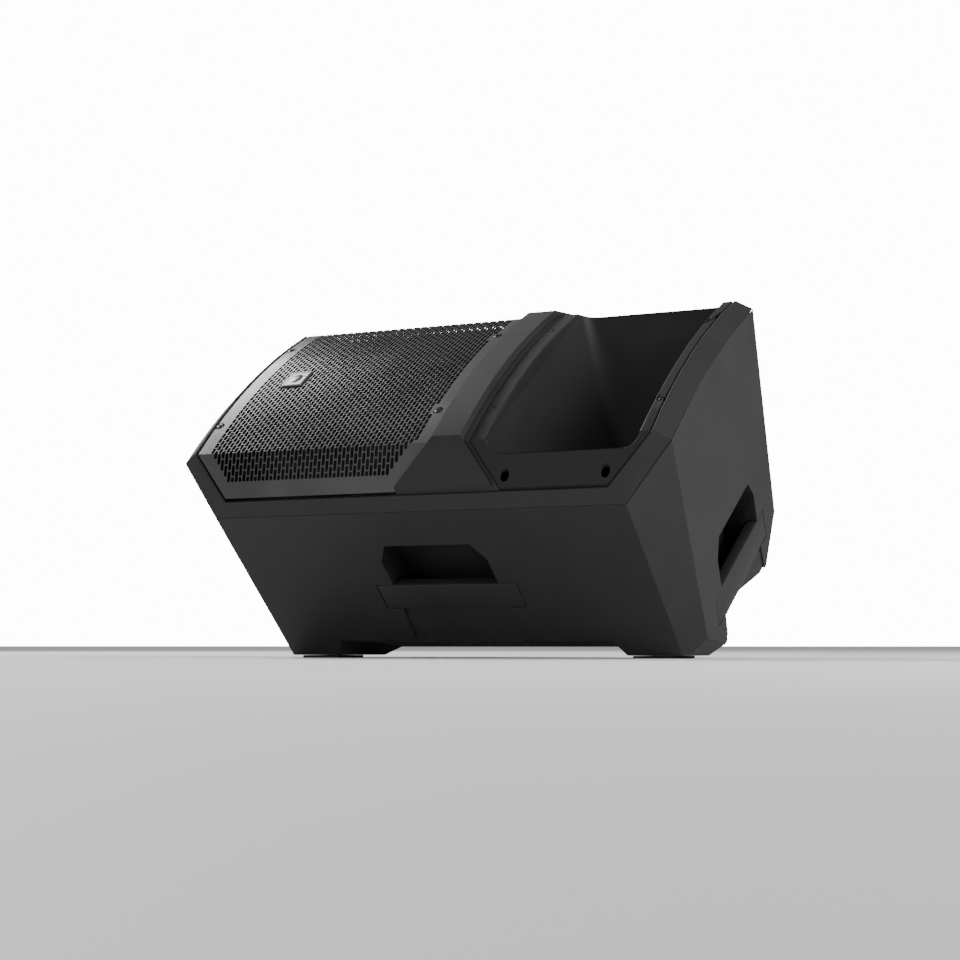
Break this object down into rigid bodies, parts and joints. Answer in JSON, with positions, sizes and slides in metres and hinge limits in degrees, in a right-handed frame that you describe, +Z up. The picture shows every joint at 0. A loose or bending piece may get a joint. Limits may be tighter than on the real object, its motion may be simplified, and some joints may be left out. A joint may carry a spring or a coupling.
{
  "type": "stage monitor wedge",
  "caption": "Moulded two-way stage monitor wedge lying on its floor facet, with a perforated grille, a horn waveguide, recessed handles and a rear control panel.",
  "frame": {"origin": "centre of the bounding box in plan, on the floor that the rubber pads stand on", "axes": "+X along the length towards the horn end, +Y away from the listener, +Z up; the cabinet leans back 36 degrees about X"},
  "size_m": [0.592, 0.3974, 0.3895],
  "materials": {
    "textured_black_moulding": "fine stippled satin black moulding",
    "horn_black_moulding": "fine stippled matt black moulding",
    "grille_powder_coat": "satin black powder coat on perforated steel",
    "badge_plate": "brushed, plain",
    "blackened_screws": "black oxide",
    "black_rubber": "matt",
    "basket_paint": "black enamel on pressed steel",
    "ferrite": "sintered ferrite, matt",
    "zinc_steel": "zinc plated",
    "coil_copper": "lacquered copper winding",
    "cone_paper": "coated paper, matt",
    "spider_cloth": "resin treated cloth",
    "gasket_foam": "closed cell foam",
    "cast_aluminium": "as cast",
    "panel_paint": "black painted sheet",
    "panel_plastic": "black moulding",
    "circuit_board": "green solder mask",
    "display_glass": "dark clear window",
    "nickel": "nickel plated",
    "knob_black": "soft touch"
  },
  "bodies": {
    "cabinet": {"cabinet_shell": "textured_black_moulding", "front_baffle": "textured_black_moulding", "near_handle_grip": "textured_black_moulding", "far_handle_grip": "textured_black_moulding", "right_handle_grip": "textured_black_moulding", "horn_waveguide": "horn_black_moulding", "near_port_tube": "horn_black_moulding", "far_port_tube": "horn_black_moulding", "woofer_grille": "grille_powder_coat", "grille_badge": "badge_plate", "grille_screw_1": "blackened_screws", "grille_screw_2": "blackened_screws", "grille_screw_3": "blackened_screws", "grille_screw_4": "blackened_screws", "horn_screw_1": "blackened_screws", "horn_screw_2": "blackened_screws", "horn_screw_3": "blackened_screws", "horn_screw_4": "blackened_screws", "horn_deep_screw_1": "blackened_screws", "horn_deep_screw_2": "blackened_screws", "horn_deep_screw_3": "blackened_screws", "horn_deep_screw_4": "blackened_screws", "near_left_floor_pad": "black_rubber", "near_right_floor_pad": "black_rubber", "far_left_floor_pad": "black_rubber", "far_right_floor_pad": "black_rubber", "end_foot_1": "black_rubber", "end_foot_2": "black_rubber", "end_foot_3": "black_rubber", "end_foot_4": "black_rubber", "woofer_surround": "black_rubber", "woofer_basket": "basket_paint", "woofer_magnet": "ferrite", "compression_driver_body": "ferrite", "woofer_top_plate": "zinc_steel", "woofer_back_plate": "zinc_steel", "encoder_body": "zinc_steel", "woofer_spider": "spider_cloth", "woofer_trim_ring": "gasket_foam", "amp_panel_gasket": "gasket_foam", "pole_socket": "cast_aluminium", "heat_sink": "cast_aluminium", "amp_panel": "panel_paint", "compression_driver_cap": "panel_plastic", "input_1_socket": "panel_plastic", "input_2_socket": "panel_plastic", "mix_output_socket": "panel_plastic", "power_switch_frame": "panel_plastic", "mains_inlet": "panel_plastic", "amplifier_board": "circuit_board", "power_supply_board": "circuit_board", "display_window": "display_glass"},
    "woofer_moving": {"woofer_cone": "cone_paper", "woofer_voice_coil": "coil_copper", "woofer_dust_cap": "cone_paper"},
    "encoder_stem": {"encoder_shaft": "zinc_steel"},
    "encoder_cap": {"encoder_knob": "knob_black"},
    "rocker": {"power_switch_rocker": "knob_black"},
    "latch_1": {"input_1_latch": "nickel"},
    "latch_2": {"input_2_latch": "nickel"}
  },
  "joints": [
    {"name": "woofer_excursion", "type": "slide", "parent": "cabinet", "child": "woofer_moving", "axis": [0, -0.5878, 0.809], "range_m": [-0.006, 0.006], "stiffness_N_per_m": 2500, "deforming": ["woofer_surround", "woofer_spider"]},
    {"name": "encoder_press", "type": "slide", "parent": "cabinet", "child": "encoder_stem", "axis": [0, -0.5878, 0.809], "range_m": [0, 0.001], "stiffness_N_per_m": 800},
    {"name": "encoder_turn", "type": "hinge", "parent": "encoder_stem", "child": "encoder_cap", "pos_m": [-0.0143, 0.06736, 0.05691], "axis": [0, -0.5878, 0.809], "continuous": true},
    {"name": "power_switch", "type": "hinge", "parent": "cabinet", "child": "rocker", "pos_m": [0.0757, 0.06574, 0.05574], "axis": [-1, 0, 0], "range_deg": [0, 16]},
    {"name": "input_1_release", "type": "slide", "parent": "cabinet", "child": "latch_1", "axis": [0, -0.5878, 0.809], "range_m": [0, 0.0015], "stiffness_N_per_m": 500},
    {"name": "input_2_release", "type": "slide", "parent": "cabinet", "child": "latch_2", "axis": [0, -0.5878, 0.809], "range_m": [0, 0.0015], "stiffness_N_per_m": 500}
  ]
}
